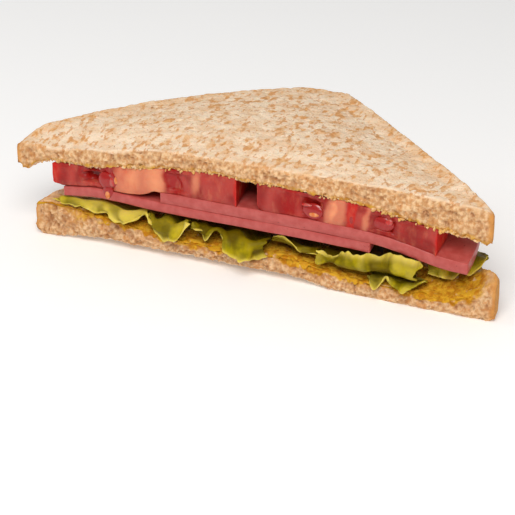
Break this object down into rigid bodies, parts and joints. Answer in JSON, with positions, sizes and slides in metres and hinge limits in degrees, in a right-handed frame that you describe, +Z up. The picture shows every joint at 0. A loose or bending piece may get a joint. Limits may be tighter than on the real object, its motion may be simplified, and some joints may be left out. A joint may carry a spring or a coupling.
{
  "type": "polony and tomato sandwich",
  "caption": "Half of a soft brown bread sandwich cut from corner to corner, filled with lettuce, polony and tomato, lying flat",
  "frame": {"origin": "centre of the footprint, on the surface that the sandwich lies on", "axes": "+X along the cut face, to the right as one looks at it; +Y from the cut face back to the crust corner; +Z up"},
  "size_m": [0.1516, 0.0806, 0.0371],
  "materials": {
    "bread": "soft, open crumb with bran flecks and a thin golden brown crust",
    "polony": "smooth, moist, slightly glossy",
    "tomato": "wet, glossy, with paler flesh",
    "lettuce": "satin, thin, with pale edges"
  },
  "bodies": {
    "root": {"bread_bottom": "bread", "bread_top": "bread", "polony_lower": "polony", "polony_upper": "polony", "tomato_left": "tomato", "tomato_right": "tomato", "tomato_back": "tomato", "lettuce_left": "lettuce", "lettuce_curl": "lettuce", "lettuce_frill": "lettuce", "lettuce_dark": "lettuce", "lettuce_large": "lettuce", "lettuce_edge": "lettuce", "lettuce_right": "lettuce", "lettuce_back_left": "lettuce", "lettuce_back_right": "lettuce"}
  },
  "joints": []
}
